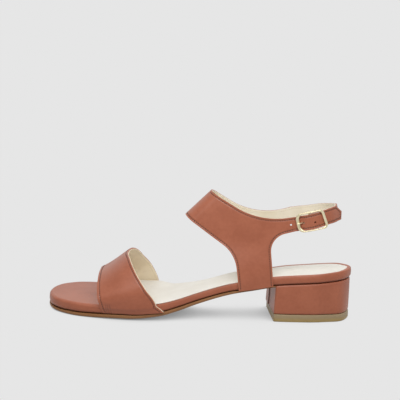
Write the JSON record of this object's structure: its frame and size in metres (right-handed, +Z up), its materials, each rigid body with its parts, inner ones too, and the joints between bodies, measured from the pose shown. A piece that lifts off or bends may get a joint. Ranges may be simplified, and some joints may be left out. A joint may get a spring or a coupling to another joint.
{
  "type": "block heel sandal",
  "caption": "Left open-toe sandal with a broad vamp strap, a T-shaped ankle upper, a buckled back strap and a low covered block heel.",
  "frame": {"origin": "on the floor, under the middle of the shoe's box", "axes": "+X from toe to heel, +Y towards the foot's inner side, +Z up"},
  "size_m": [0.2506, 0.0831, 0.1023],
  "materials": {
    "brown_leather": "smooth semi-gloss",
    "cream_leather": "matte",
    "tan_sole": "satin",
    "amber_rubber": "satin",
    "pale_gold": "polished"
  },
  "bodies": {
    "root": {"outsole": "tan_sole", "heel": "brown_leather", "heel_top_piece": "amber_rubber", "footbed": "brown_leather", "sock_lining": "cream_leather", "vamp_strap": "brown_leather", "ankle_upper": "brown_leather", "buckle_frame": "pale_gold", "buckle_prong": "pale_gold"}
  },
  "joints": []
}
